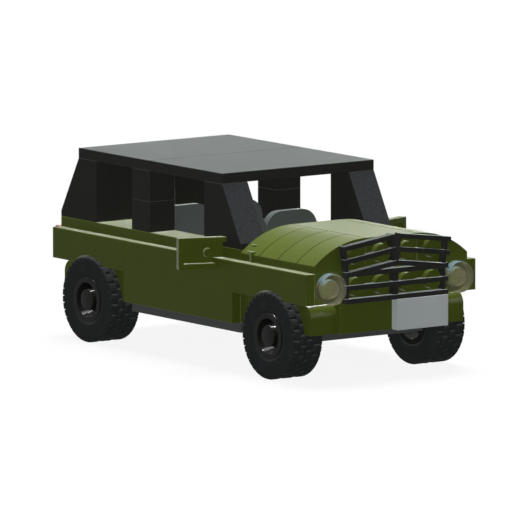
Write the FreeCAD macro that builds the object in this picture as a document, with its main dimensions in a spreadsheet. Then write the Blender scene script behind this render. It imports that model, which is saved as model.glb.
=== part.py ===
import FreeCAD, Part
import Sketcher

import os
import re

# A toy four-wheel-drive army car, built of bricks, plates and tiles on one lattice.
# X points forward, Y to the car's left, Z up. The origin is on the ground, in the middle.

# Counts, the turn from a tread lug's ridge to the next groove, and the turn that sets a ridge
# on the ground.
HOOD_BRICKS = 4
STUDS_ACROSS = 4
TREAD_ROWS = 4
TREAD_LUGS = 19
LUG_HALF_TURN = 180 / TREAD_LUGS
LUG_START = 90 % LUG_HALF_TURN

# Driving sizes in millimetres: name, size, meaning.
SIZES = [
    ("body_length", 112.0, "body from tail to nose"),
    ("body_width", 48.0, "body and roof, without the side panels"),
    ("hood_length", 32.0, "hood, and front side panel"),
    ("tail_length", 32.0, "rear side panel"),
    ("lower_height", 8.0, "lower body, from the chassis to the wings"),
    ("wing_height", 8.0, "wings, from the lower body to the ledge"),
    ("waist_height", 2.6667, "waist plate on the ledge"),
    ("cab_height", 16.0, "pillars, from waist to roof"),
    ("roof_thickness", 2.6667, "roof plates"),
    ("panel_thickness", 2.6667, "side panels that stand out from the body"),
    ("chassis_thickness", 2.6667, "chassis and axle plates"),
    ("brick_edge", 0.1, "chamfer along every edge of a brick"),
    ("pillar_width", 8.0, "pillar at the roof, along the car"),
    ("pillar_depth", 8.0, "pillar, across the car"),
    ("pillar_rake", 8.0, "how far a raked pillar leans out at its foot"),
    ("pillar_lip", 1.5, "upright edge at the foot of a raked pillar"),
    ("hood_height", 8.0, "hood above the ledge"),
    ("hood_top_width", 16.0, "flat middle of the hood"),
    ("hood_lip", 1.92, "upright edge under the hood's curve"),
    ("lug_radius", 2.4, "round studs on the front wall"),
    ("lug_length", 1.7, "how far those studs stand out"),
    ("mudguard_inset", 1.6, "mudguard behind the end of the body"),
    ("mudguard_rounding", 3.5, "round upper edge of the mudguard"),
    ("mudguard_step", 0.2, "step between the mudguard and the wing"),
    ("arch_gap", 0.5, "free space around a tyre in its arch"),
    ("tyre_radius", 11.1, "tyre to the tips of its tread"),
    ("tyre_width", 9.2, "tyre from sidewall to sidewall"),
    ("tyre_standout", 3.1, "how far a tyre stands out of the body"),
    ("tyre_inner_gap", 1.9, "between a tyre and the inner end of its wing"),
    ("tread_depth", 1.5, "grooves between the lugs"),
    ("tread_lug_width", 2.75, "one lug, around the tyre"),
    ("rim_radius", 6.0, "rim where the tyre sits"),
    ("rim_ring_width", 1.5, "flat ring around the rim's dish"),
    ("rim_dish_depth", 3.2, "dish behind the ring"),
    ("rim_dish_fall", 0.9, "how much the dish narrows to its floor"),
    ("rim_floor", 1.4, "web that carries the hub"),
    ("hub_radius", 2.75, "hub in the middle of the dish"),
    ("hub_recess", 0.05, "hub behind the ring"),
    ("hub_cap", 1.2, "closed end of the hub's bore"),
    ("pin_radius", 1.6, "axle pin"),
    ("pin_clearance", 0.05, "radial running fit of the pin in the hub"),
    ("pin_end_gap", 0.3, "between the pin's tip and the bottom of the bore"),
    ("collar_radius", 2.4, "shoulder on which the hub runs"),
    ("collar_gap", 0.3, "running gap between shoulder and hub"),
    ("axle_plate_length", 16.0, "axle plate along the car"),
    ("seat_depth", 16.0, "one seat, along the car"),
    ("seat_back_thickness", 2.2, "backrest"),
    ("seat_top", 24.0, "top of the backrest above the cab floor"),
    ("seat_cushion", 10.6667, "cushion's top above the cab floor"),
    ("seat_corner", 4.7, "round upper corners of the backrest"),
    ("front_seat_place", 24.0, "back of the front seats, from the cab's rear end"),
    ("lamp_radius", 4.0, "headlamp"),
    ("lamp_thickness", 2.6667, "headlamp, tail lamp and number plate"),
    ("lamp_ring", 0.3, "bevel around the headlamp's face"),
    ("tail_lamp_size", 8.0, "square tail lamp"),
    ("number_plate_width", 16.0, "number plate"),
    ("grille_depth", 2.0, "bars of the grille, front to back"),
    ("grille_standoff", 0.6667, "bars in front of the nose"),
    ("grille_bar", 1.2, "height of one bar"),
    ("grille_post", 0.7, "width of an end post"),
    ("grille_post_inset", 0.45, "outer posts from the ends of the bars"),
    ("grille_post_setback", 0.6667, "posts behind the front of the bars"),
    ("grille_panel_height", 8.0, "one grille panel"),
    ("grille_peak", 0.75, "upper panels above the hood, at the middle"),
    ("grille_fall", 2.1, "how far an upper panel falls to its outer end"),
    ("mirror_length", 12.7, "mirror from hinge to free end"),
    ("mirror_height", 8.0, "mirror"),
    ("mirror_thickness", 2.1, "mirror"),
    ("mirror_setback", 4.1, "mirror's free end behind its hinge"),
    ("mirror_rim", 1.35, "rim around the mirror's recess"),
    ("mirror_recess", 1.6, "recess in the mirror's face"),
    ("mirror_boss_radius", 1.2, "round boss in the mirror's recess"),
    ("mirror_boss_place", 4.7, "boss from the hinge"),
    ("mirror_place", 6.1, "mirror's hinge behind the cowl"),
    ("mirror_rise", 2.6667, "top of the mirror above the waist"),
    ("bracket_size", 8.0, "turned bracket plate in the cowl, both ways"),
    ("bracket_thickness", 2.6667, "bracket plate"),
    ("bracket_place", 5.3, "bracket's outer corner in front of the hood's rear end"),
    ("bracket_standout", 0.5, "bracket's outer corner out of the body's side"),
    ("bracket_stud_length", 1.4, "round stud on top of the bracket"),
    ("cut_overrun", 1.0, "how far a cutting tool passes the piece it cuts"),
]

# Places worked out from the driving sizes: name, formula, meaning.
PLACES = [
    ("half_width", "body_width / 2", "outer face of the body"),
    ("panel_y", "half_width + panel_thickness", "outer face of the side panels"),
    ("wheel_y", "half_width + tyre_standout - tyre_width / 2", "middle of a left wheel"),
    ("tyre_half", "tyre_width / 2", "half of a tyre's width"),
    ("core_y", "wheel_y - tyre_half - tyre_inner_gap", "inner face of wings and cab walls"),
    ("lug_pitch", f"2 * core_y / {STUDS_ACROSS}", "between neighbouring studs of the nose"),
    ("nose_x", "body_length / 2", "front end of the body"),
    ("tail_x", "-body_length / 2", "rear end of the body"),
    ("cowl_x", "nose_x - hood_length", "rear end of the hood"),
    ("cab_rear_x", "tail_x + tail_length", "front end of the load deck"),
    ("front_axle_x", "(cowl_x + nose_x) / 2", "front axle, under the middle of the hood"),
    ("rear_axle_x", "(tail_x + cab_rear_x) / 2", "rear axle, under the middle of the deck"),
    ("axle_z", "tyre_radius", "axles above the ground"),
    ("chassis_z", "axle_z - chassis_thickness / 2", "underside of the chassis"),
    ("floor_z", "axle_z + chassis_thickness / 2", "top of the chassis"),
    ("wing_z", "floor_z + lower_height", "underside of the wings"),
    ("nose_stud_z", "wing_z + wing_height / 2", "lower row of studs, and the headlamps"),
    ("ledge_z", "wing_z + wing_height", "top of wings and side panels"),
    ("hood_stud_z", "ledge_z + hood_height / 2", "upper row of studs"),
    ("waist_z", "ledge_z + waist_height", "foot of the pillars"),
    ("roof_z", "waist_z + cab_height", "underside of the roof"),
    ("top_z", "roof_z + roof_thickness", "top of the roof"),
    ("hood_z", "ledge_z + hood_height", "top of the hood"),
    ("hood_top_y", "hood_top_width / 2", "edge of the hood's flat middle"),
    ("hood_run", "half_width - hood_top_y", "width of the hood's curve"),
    ("hood_drop", "hood_height - hood_lip", "fall of the hood's curve"),
    ("hood_radius", "(hood_run ^ 2 + hood_drop ^ 2) / (2 * hood_drop)", "hood's curve"),
    ("roof_rear_x", "tail_x + pillar_rake", "rear end of the roof"),
    ("roof_front_x", "cowl_x - pillar_rake", "front end of the roof"),
    ("roof_seam_x", "(roof_rear_x + roof_front_x) / 2", "seam across the roof"),
    ("arch_radius", "tyre_radius + arch_gap", "wheel arch"),
    ("arch_reach", "sqrt(arch_radius ^ 2 - (floor_z - axle_z) ^ 2)", "half of the arch's foot"),
    ("seat_top_z", "floor_z + seat_top", "top of the seats"),
    ("lug_row_width", f"tyre_width / {TREAD_ROWS}", "one row of lugs"),
    ("lug_groove", f"2 * pi * tyre_radius / {TREAD_LUGS} - tread_lug_width", "between two lugs"),
    ("sweep_angle", "asin(mirror_setback / mirror_length)", "how far mirror and bracket are turned"),
]

SIDES = ("left", "right")
ENDS = ("front", "rear")
FORWARD = FreeCAD.Vector(1, 0, 0)
LEFTWARD = FreeCAD.Vector(0, 1, 0)
UPWARD = FreeCAD.Vector(0, 0, 1)

SHEET_OF = {alias: "Sizes." for alias, size, meaning in SIZES}
SHEET_OF.update({alias: "Places." for alias, formula, meaning in PLACES})


# Sheets and formulas

def spell(formula):
    """Put the name of its sheet before each size or place in a formula."""
    return re.sub(r"[a-z][a-z_]*[a-z]", lambda word: SHEET_OF.get(word[0], "") + word[0], formula)


def fill_sheet(name, rows, make_cell):
    sheet = doc.addObject("Spreadsheet::Sheet", name)
    for number, (alias, content, meaning) in enumerate(rows, start=1):
        sheet.set(f"A{number}", meaning)
        sheet.set(f"B{number}", make_cell(content))
        sheet.setAlias(f"B{number}", alias)
    doc.recompute()
    return sheet


doc = FreeCAD.newDocument("army_car")
sizes = fill_sheet("Sizes", SIZES, str)
places = fill_sheet("Places", PLACES, lambda formula: "=" + spell(formula))
finished = []


def measure(formula):
    """The present value of a formula."""
    return float(places.evalExpression(spell(formula)))


def bind(item, **formulas):
    """Tie properties of an object to formulas on the sheets."""
    for path, formula in formulas.items():
        item.setExpression(path.replace("__", "."), spell(formula))


def put(item, x="0", y="0", z="0"):
    """Tie an object's place to formulas."""
    bind(item, Placement__Base__x=x, Placement__Base__y=y, Placement__Base__z=z)


def keep(item, label):
    """Name a finished piece, which is written to a file of its own."""
    item.Label = label
    finished.append(item)


def outward(end, place, distance):
    """A place along the car, moved by a distance towards the given end."""
    return f"{place} + {distance}" if end == "front" else f"{place} - {distance}"


def inward(end, place, distance):
    """A place along the car, moved by a distance away from the given end."""
    return f"{place} - {distance}" if end == "front" else f"{place} + {distance}"


def across(side, place):
    """A distance from the car's middle, on the given side."""
    return place if side == "left" else f"-({place})"


def side_span(side, inner, outer):
    """The span across the car between two distances from its middle, on one side."""
    return (inner, outer) if side == "left" else (f"-({outer})", f"-({inner})")


def length_of(span):
    return f"({span[1]}) - ({span[0]})"


# Bricks, profiles and tools

def new_body(name):
    return doc.addObject("PartDesign::Body", name)


def break_edges(body, base):
    """Chamfer all edges of a body, as on a moulded brick."""
    edges = body.newObject("PartDesign::Chamfer", "Edges")
    edges.Base = (base, [""])
    edges.UseAllEdges = True
    bind(edges, Size="brick_edge")
    body.Tip = edges


def brick(name, x_span, y_span, z_span):
    """A block between two formulas on each axis, with broken edges."""
    body = new_body(name)
    block = body.newObject("PartDesign::AdditiveBox", "Block")
    bind(block, Length=length_of(x_span), Width=length_of(y_span), Height=length_of(z_span))
    break_edges(body, block)
    put(body, x_span[0], y_span[0], z_span[0])
    return body


def box(name, x_span, y_span, z_span):
    """A plain block, as a part of a piece or as a cutting tool."""
    block = doc.addObject("Part::Box", name)
    bind(block, Length=length_of(x_span), Width=length_of(y_span), Height=length_of(z_span))
    put(block, x_span[0], y_span[0], z_span[0])
    return block


def rod(name, radius, length, axis, x, y, z):
    """A cylinder from a place along an axis."""
    cylinder = doc.addObject("Part::Cylinder", name)
    bind(cylinder, Radius=radius, Height=length)
    cylinder.Placement.Rotation = FreeCAD.Rotation(UPWARD, axis)
    put(cylinder, x, y, z)
    return cylinder


def join(name, pieces):
    fused = doc.addObject("Part::MultiFuse", name)
    fused.Shapes = pieces
    return fused


def cut(name, base, tool):
    trimmed = doc.addObject("Part::Cut", name)
    trimmed.Base = base
    trimmed.Tool = tool
    return trimmed


def fix(sketch, kind, geometry, point, formula):
    """Constrain one coordinate of a point to a formula."""
    index = sketch.addConstraint(Sketcher.Constraint(kind, geometry, point, measure(formula)))
    sketch.setExpression(f"Constraints[{index}]", spell(formula))


def add_profile(body, role, corners, arcs=None):
    """A closed sketch through corners that are pairs of formulas.

    arcs gives, for the number of an edge that is an arc, the formulas of its centre
    and whether it turns to the left.
    """
    arcs = arcs or {}
    sketch = body.newObject("Sketcher::SketchObject", "Profile")
    plane = next(item for item in body.Origin.OriginFeatures if item.Role == role)
    sketch.AttachmentSupport = (plane, [""])
    sketch.MapMode = "FlatFace"
    spots = [FreeCAD.Vector(measure(u), measure(v), 0) for u, v in corners]
    first_point, last_point, centre_point = 1, 2, 3
    ends = []
    for number, start in enumerate(spots):
        end = spots[(number + 1) % len(spots)]
        turns_left = number not in arcs or arcs[number][2]
        if number in arcs:
            centre = FreeCAD.Vector(*[measure(formula) for formula in arcs[number][:2]], 0)
            circle = Part.Circle(centre, UPWARD, (start - centre).Length)
            first, last = (start, end) if turns_left else (end, start)
            sketch.addGeometry(
                Part.ArcOfCircle(circle, circle.parameter(first), circle.parameter(last)))
        else:
            sketch.addGeometry(Part.LineSegment(start, end))
        ends.append((first_point, last_point) if turns_left else (last_point, first_point))
    for number, (u, v) in enumerate(corners):
        following = (number + 1) % len(corners)
        sketch.addConstraint(Sketcher.Constraint(
            "Coincident", number, ends[number][1], following, ends[following][0]))
        fix(sketch, "DistanceX", number, ends[number][0], u)
        fix(sketch, "DistanceY", number, ends[number][0], v)
    for number, (centre_u, centre_v, turns_left) in arcs.items():
        chord = spots[(number + 1) % len(spots)] - spots[number]
        if abs(chord.x) > abs(chord.y):
            fix(sketch, "DistanceY", number, centre_point, centre_v)
        else:
            fix(sketch, "DistanceX", number, centre_point, centre_u)
    return sketch


def profile_piece(name, role, corners, length, arcs=None):
    """A body made by extruding one outline."""
    body = new_body(name)
    pad = body.newObject("PartDesign::Pad", "Pad")
    pad.Profile = add_profile(body, role, corners, arcs)
    bind(pad, Length=length)
    return body, pad


def side_piece(name, corners, span, arcs=None, edged=True):
    """A piece whose outline is seen from the side, between two places across the car."""
    body, pad = profile_piece(name, "XZ_Plane", corners, length_of(span), arcs)
    if edged:
        break_edges(body, pad)
    put(body, y=span[1])
    return body


def turned_piece(name, corners):
    """A body turned about its own Y axis; corners are pairs of radius and place."""
    body = new_body(name)
    turning = body.newObject("PartDesign::Revolution", "Turning")
    turning.Profile = add_profile(body, "XY_Plane", corners)
    turning.ReferenceAxis = (turning.Profile[0], ["V_Axis"])
    turning.Angle = 360.0
    return body


def nose_studs(name, side_places, height):
    """Studs that stand out of the nose; side_places are formulas across the car."""
    return [
        rod(f"{name}_{number}", "lug_radius", "2 * lug_length", FORWARD,
            "nose_x - lug_length", place, height)
        for number, place in enumerate(side_places)
    ]


# Chassis and wheels

def make_chassis():
    keep(brick(
        "chassis", ("cab_rear_x", "cowl_x"), ("-half_width", "half_width"),
        ("chassis_z", "floor_z"),
    ), "chassis_plate")


def make_axle_plate(end):
    """A plate with a shoulder and a pin on each side for its two wheels."""
    middle = f"{end}_axle_x"
    plate = brick(
        f"{end}_axle_brick",
        (f"{middle} - axle_plate_length / 2", f"{middle} + axle_plate_length / 2"),
        ("-core_y", "core_y"),
        ("chassis_z", "floor_z"),
    )
    collar_tip = "wheel_y - tyre_half - collar_gap"
    pin_tip = "wheel_y + tyre_half - hub_recess - hub_cap - pin_end_gap"
    pieces = [plate]
    for side in SIDES:
        for name, radius, tip in (("collar", "collar_radius", collar_tip),
                                  ("pin", "pin_radius", pin_tip)):
            span = side_span(side, "core_y", tip)
            pieces.append(rod(
                f"{end}_{side}_{name}", radius, length_of(span), LEFTWARD,
                middle, span[0], "axle_z"))
    keep(join(f"{end}_axle", pieces), f"{end}_axle_plate")


def keep_wheel_piece(body, end, side, label):
    """Set a turned piece on its axle, with its outer face away from the car."""
    if side == "right":
        body.Placement.Rotation = FreeCAD.Rotation(UPWARD, 180)
    put(body, f"{end}_axle_x", across(side, "wheel_y"), "axle_z")
    keep(body, label)


def make_lug_row(name, number):
    """One ring of ridged lugs with V grooves; every second row is turned by half a pitch."""
    body = new_body(name)
    ring = body.newObject("PartDesign::AdditivePrism", "Ring")
    ring.Polygon = 2 * TREAD_LUGS
    bind(ring, Circumradius="tyre_radius", Height="lug_row_width")
    bore = body.newObject("PartDesign::SubtractiveCylinder", "Bore")
    bind(bore, Radius="rim_radius", Height="lug_row_width")
    groove = body.newObject("PartDesign::SubtractiveWedge", "Groove")
    reach = "tread_depth + cut_overrun"
    half_mouth = f"lug_groove / 2 * ({reach}) / tread_depth"
    bind(groove, Xmin=f"-{half_mouth}", Xmax=half_mouth, X2min="0", X2max="0",
         Ymin="0", Ymax=reach,
         Zmin="0", Zmax="lug_row_width", Z2min="0", Z2max="lug_row_width")
    groove.Placement.Rotation = FreeCAD.Rotation(UPWARD, 90)
    put(groove, "tyre_radius + cut_overrun")
    pattern = body.newObject("PartDesign::PolarPattern", "Grooves")
    pattern.Originals = [groove]
    pattern.Axis = (next(item for item in body.Origin.OriginFeatures if item.Role == "Z_Axis"), [""])
    pattern.Angle = 360
    pattern.Occurrences = TREAD_LUGS
    body.Tip = pattern
    body.Placement.Rotation = (
        FreeCAD.Rotation(UPWARD, LEFTWARD)
        * FreeCAD.Rotation(UPWARD, LUG_START + number % 2 * LUG_HALF_TURN))
    put(body, y=f"-tyre_half + {number} * lug_row_width")
    return body


def make_tyre(end, side):
    """A flat-sided tyre, made of four staggered rows of lugs side by side."""
    name = f"{end}_{side}_tyre"
    rows = [make_lug_row(f"{name}_row_{number}", number) for number in range(TREAD_ROWS)]
    keep_wheel_piece(join(name, rows), end, side, f"tyre_{end}_{side}")


def make_rim(end, side):
    """A dished rim: its ring faces outward, and the hub's bore opens inward."""
    bore = "pin_radius + pin_clearance"
    ring_inner = "rim_radius - rim_ring_width"
    dish_edge = f"{ring_inner} - rim_dish_fall"
    dish_floor = "tyre_half - rim_dish_depth"
    hub_face = "tyre_half - hub_recess"
    corners = [
        ("0", f"{hub_face} - hub_cap"),
        ("0", hub_face),
        ("hub_radius", hub_face),
        ("hub_radius", dish_floor),
        (dish_edge, dish_floor),
        (ring_inner, "tyre_half"),
        ("rim_radius", "tyre_half"),
        ("rim_radius", "-tyre_half"),
        (ring_inner, "-tyre_half"),
        (ring_inner, f"{dish_floor} - rim_floor"),
        ("hub_radius", f"{dish_floor} - rim_floor"),
        ("hub_radius", "-tyre_half"),
        (bore, "-tyre_half"),
        (bore, f"{hub_face} - hub_cap"),
    ]
    body = turned_piece(f"{end}_{side}_rim", corners)
    keep_wheel_piece(body, end, side, f"rim_{end}_{side}")


# Lower body

def make_blocks():
    """The bricks between the wheels, under the hood and under the load deck."""
    width = ("-core_y", "core_y")
    height = ("floor_z", "ledge_z")
    core = brick("front_core", ("cowl_x", "nose_x"), width, height)
    middle = (STUDS_ACROSS - 1) / 2
    row = [f"({number} - {middle}) * lug_pitch" for number in range(STUDS_ACROSS)]
    studs = nose_studs("front_stud", row, "nose_stud_z")
    keep(join("front_core_with_studs", [core] + studs), "front_block")
    keep(brick("rear_core", ("tail_x", "cab_rear_x"), width, height), "rear_block")


def make_wing(end, side):
    """A wing with its wheel arch, and its rounded mudguard at the car's end."""
    front = end == "front"
    axle = f"{end}_axle_x"
    inner, outer = ("cowl_x", "nose_x") if front else ("cab_rear_x", "tail_x")
    guard = inward(end, outer, "mudguard_inset")
    rounding = inward(end, guard, "mudguard_rounding")
    rounding_z = "wing_z - mudguard_step - mudguard_rounding"
    corners = [
        (inner, "floor_z"),
        (inward(end, axle, "arch_reach"), "floor_z"),
        (outward(end, axle, "arch_reach"), "floor_z"),
        (guard, "floor_z"),
        (guard, rounding_z),
        (rounding, "wing_z - mudguard_step"),
        (rounding, "wing_z"),
        (outer, "wing_z"),
        (outer, "ledge_z"),
        (inner, "ledge_z"),
    ]
    arcs = {1: (axle, "axle_z", not front), 4: (rounding, rounding_z, front)}
    span = side_span(side, "core_y", "half_width")
    keep(side_piece(f"{end}_{side}_wing", corners, span, arcs, edged=False),
         f"wing_{end}_{side}")


def make_cab_wall(side):
    keep(brick(
        f"{side}_cab_wall", ("cab_rear_x", "cowl_x"),
        side_span(side, "core_y", "half_width"), ("floor_z", "ledge_z"),
    ), f"cab_wall_{side}")


def make_side_panels(side):
    """Three panels in a row; the outer two make room for the tyres."""
    span = side_span(side, "half_width", "panel_y")
    keep(brick(
        f"{side}_middle_panel", ("cab_rear_x", "cowl_x"), span, ("floor_z", "ledge_z"),
    ), f"side_panel_middle_{side}")
    for end, x_span in (("front", ("cowl_x", "nose_x")), ("rear", ("tail_x", "cab_rear_x"))):
        blank = brick(f"{end}_{side}_panel_blank", x_span, span, ("wing_z", "ledge_z"))
        arch = rod(
            f"{end}_{side}_panel_arch", "arch_radius", "panel_thickness + 2 * cut_overrun",
            LEFTWARD, f"{end}_axle_x", f"{span[0]} - cut_overrun", "axle_z")
        keep(cut(f"{end}_{side}_panel", blank, arch), f"side_panel_{end}_{side}")


def make_waist():
    """The load deck, and the plates on the cab walls."""
    height = ("ledge_z", "waist_z")
    keep(brick(
        "deck", ("tail_x", "cab_rear_x"), ("-half_width", "half_width"), height,
    ), "load_deck")
    for side in SIDES:
        span = side_span(side, "core_y", "half_width")
        keep(brick(f"{side}_waist", ("cab_rear_x", "cowl_x"), span, height), f"waist_{side}")


# Hood

def make_hood_top():
    top = brick(
        "hood_core", ("cowl_x", "nose_x"), ("-hood_top_y", "hood_top_y"), ("ledge_z", "hood_z"))
    row = [across(side, "lug_pitch / 2") for side in SIDES]
    keep(join("hood_core_with_studs", [top] + nose_studs("hood_stud", row, "hood_stud_z")),
         "hood_top")


def make_bracket(side):
    """A small plate with one stud, turned as the mirror is, whose corner comes out of the cowl."""
    name = f"{side}_bracket"
    plate = box(
        f"{name}_plate", ("-bracket_size", "0"),
        side_span(side, "-bracket_size", "0"), ("0", "bracket_thickness"))
    stud = rod(
        f"{name}_stud", "lug_radius", "bracket_thickness + bracket_stud_length", UPWARD,
        "-bracket_size / 2", across(side, "-bracket_size / 2"), "0")
    turned = join(f"{name}_turned", [plate, stud])
    turned.Placement.Rotation = FreeCAD.Rotation(UPWARD, 1)
    bind(turned, Placement__Rotation__Angle=across(side, "sweep_angle"))
    put(turned, "cowl_x + bracket_place", across(side, "half_width + bracket_standout"), "ledge_z")
    cab_side = box(
        f"{name}_cab_side", ("cowl_x - 2 * bracket_size", "cowl_x"),
        side_span(side, "0", "half_width + bracket_size"), ("ledge_z", "roof_z"))
    return cut(f"{name}_cut", turned, cab_side)


def make_hood_side(side):
    """Curved bricks in a row, whose broken edges leave a seam between each two."""
    top_y = across(side, "hood_top_y")
    outer_y = across(side, "half_width")
    corners = [
        (top_y, "ledge_z"),
        (outer_y, "ledge_z"),
        (outer_y, "ledge_z + hood_lip"),
        (top_y, "hood_z"),
    ]
    arcs = {2: (top_y, "hood_z - hood_radius", side == "left")}
    pieces = []
    for number in range(HOOD_BRICKS):
        body, pad = profile_piece(
            f"{side}_hood_brick_{number}", "YZ_Plane", corners, f"hood_length / {HOOD_BRICKS}",
            arcs)
        break_edges(body, pad)
        put(body, x=f"cowl_x + {number} * hood_length / {HOOD_BRICKS}")
        pieces.append(body)
    row = [across(side, "lug_pitch * 3 / 2")]
    pieces += nose_studs(f"{side}_hood_side_stud", row, "hood_stud_z")
    pieces.append(make_bracket(side))
    keep(join(f"{side}_hood_side", pieces), f"hood_side_{side}")


# Cab

def make_pillars(side):
    span = side_span(side, "half_width - pillar_depth", "half_width")
    raked = [
        ("roof_front_x - pillar_width", "waist_z"),
        ("cowl_x", "waist_z"),
        ("cowl_x", "waist_z + pillar_lip"),
        ("roof_front_x", "roof_z"),
        ("roof_front_x - pillar_width", "roof_z"),
    ]
    keep(side_piece(f"{side}_front_pillar", raked, span), f"front_pillar_{side}")
    length = ("cab_rear_x", "cab_rear_x + pillar_width")
    seam = "waist_z + cab_height / 2"
    lower = brick(f"{side}_pillar_lower_brick", length, span, ("waist_z", seam))
    upper = brick(f"{side}_pillar_upper_brick", length, span, (seam, "roof_z"))
    keep(join(f"{side}_middle_pillar", [lower, upper]), f"middle_pillar_{side}")


def make_rear_wall():
    """Raked bricks side by side close the back of the cab: narrow ones outside a wide one."""
    outline = [
        ("tail_x", "waist_z"),
        ("roof_rear_x + pillar_width", "waist_z"),
        ("roof_rear_x + pillar_width", "roof_z"),
        ("roof_rear_x", "roof_z"),
        ("tail_x", "waist_z + pillar_lip"),
    ]
    outer_seam = "half_width - pillar_depth"
    inner_seam = "half_width - 2 * pillar_depth"
    centre = (f"-({inner_seam})", inner_seam)
    keep(side_piece("rear_centre_brick", outline, centre), "rear_wall_centre")
    for side in SIDES:
        inner = side_span(side, inner_seam, outer_seam)
        keep(side_piece(f"{side}_inner_rear_brick", outline, inner), f"rear_wall_inner_{side}")
        outer = side_span(side, outer_seam, "half_width")
        keep(side_piece(f"{side}_outer_rear_brick", outline, outer), f"rear_wall_{side}")


def make_roof():
    width = ("-half_width", "half_width")
    height = ("roof_z", "top_z")
    keep(brick("rear_roof", ("roof_rear_x", "roof_seam_x"), width, height), "roof_rear")
    keep(brick("front_roof", ("roof_seam_x", "roof_front_x"), width, height), "roof_front")


def make_seat(row, side):
    """A cushion and a backrest with round upper corners."""
    back_x = "cab_rear_x + front_seat_place" if row == "front" else "cab_rear_x"
    span = side_span(side, "0", "core_y")
    corner_z = "seat_top_z - seat_corner"
    corners = [
        (span[0], "floor_z"),
        (span[1], "floor_z"),
        (span[1], corner_z),
        (f"{span[1]} - seat_corner", "seat_top_z"),
        (f"{span[0]} + seat_corner", "seat_top_z"),
        (span[0], corner_z),
    ]
    arcs = {
        2: (f"{span[1]} - seat_corner", corner_z, True),
        4: (f"{span[0]} + seat_corner", corner_z, True),
    }
    back, pad = profile_piece(
        f"{row}_{side}_backrest", "YZ_Plane", corners, "seat_back_thickness", arcs)
    put(back, x=back_x)
    cushion = brick(
        f"{row}_{side}_cushion", (back_x, f"{back_x} + seat_depth"), span,
        ("floor_z", "floor_z + seat_cushion"))
    keep(join(f"{row}_{side}_seat", [back, cushion]), f"seat_{row}_{side}")


# Nose and tail

def make_headlamp(side):
    corners = [
        ("0", "0"),
        ("lamp_radius", "0"),
        ("lamp_radius", "lamp_thickness - lamp_ring"),
        ("lamp_radius - lamp_ring", "lamp_thickness"),
        ("0", "lamp_thickness"),
    ]
    body = turned_piece(f"{side}_headlamp", corners)
    body.Placement.Rotation = FreeCAD.Rotation(LEFTWARD, FORWARD)
    put(body, "nose_x", across(side, "half_width - lamp_radius"), "nose_stud_z")
    keep(body, f"headlamp_{side}")


def make_tail_lamp(side):
    keep(brick(
        f"{side}_tail_lamp", ("tail_x - lamp_thickness", "tail_x"),
        side_span(side, "half_width - tail_lamp_size", "half_width"),
        ("ledge_z - tail_lamp_size", "ledge_z"),
    ), f"tail_lamp_{side}")


def make_number_plate():
    """The blank plate sits under the left half of the grille."""
    keep(brick(
        "blank_plate", ("nose_x", "nose_x + lamp_thickness"), ("0", "number_plate_width"),
        ("floor_z", "wing_z"),
    ), "number_plate")


def grille_frame(name, side):
    """Three bars on two thinner posts, with the lower inner corner at the origin."""
    width = side_span(side, "0", "core_y")
    depth = ("0", "grille_depth")
    top_bar = "grille_panel_height - grille_bar"
    pieces = [
        box(f"{name}_bar_{number}", depth, width, (foot, f"{foot} + grille_bar"))
        for number, foot in enumerate(("0", f"({top_bar}) / 2", top_bar))
    ]
    outer_place = "core_y - grille_post_inset - grille_post"
    for place, inner in (("inner", "0"), ("outer", outer_place)):
        post = side_span(side, inner, f"{inner} + grille_post")
        pieces.append(box(
            f"{name}_{place}_post", ("-grille_standoff", "grille_depth - grille_post_setback"), post,
            ("0", "grille_panel_height")))
    return join(f"{name}_frame", pieces)


def stud_sockets(name, side, height):
    """The tool that makes room for the nose's studs in a grille panel."""
    row = [across(side, f"({number} + 1 / 2) * lug_pitch") for number in range(STUDS_ACROSS // 2)]
    return join(f"{name}_sockets", nose_studs(f"{name}_socket", row, height))


def make_lower_grille(side):
    name = f"grille_lower_{side}"
    frame = grille_frame(name, side)
    put(frame, "nose_x + grille_standoff", "0", "wing_z")
    keep(cut(f"{name}_cut", frame, stud_sockets(name, side, "nose_stud_z")), name)


def make_upper_grille(side):
    """It falls to its outer end, and is trimmed where it meets the lower panel."""
    name = f"grille_upper_{side}"
    frame = grille_frame(name, side)
    frame.Placement.Rotation = FreeCAD.Rotation(FORWARD, 1)
    lean = "asin(grille_fall / core_y)"
    bind(frame, Placement__Rotation__Angle=across("right" if side == "left" else "left", lean))
    put(frame, "nose_x + grille_standoff", "0", "hood_z + grille_peak - grille_panel_height")
    lower_panel = box(
        f"{name}_trim", ("nose_x - cut_overrun", "nose_x + 2 * grille_depth"),
        ("-half_width", "half_width"), ("wing_z", "wing_z + grille_panel_height"))
    trimmed = cut(f"{name}_trimmed", frame, lower_panel)
    keep(cut(f"{name}_cut", trimmed, stud_sockets(name, side, "hood_stud_z")), name)


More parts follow.
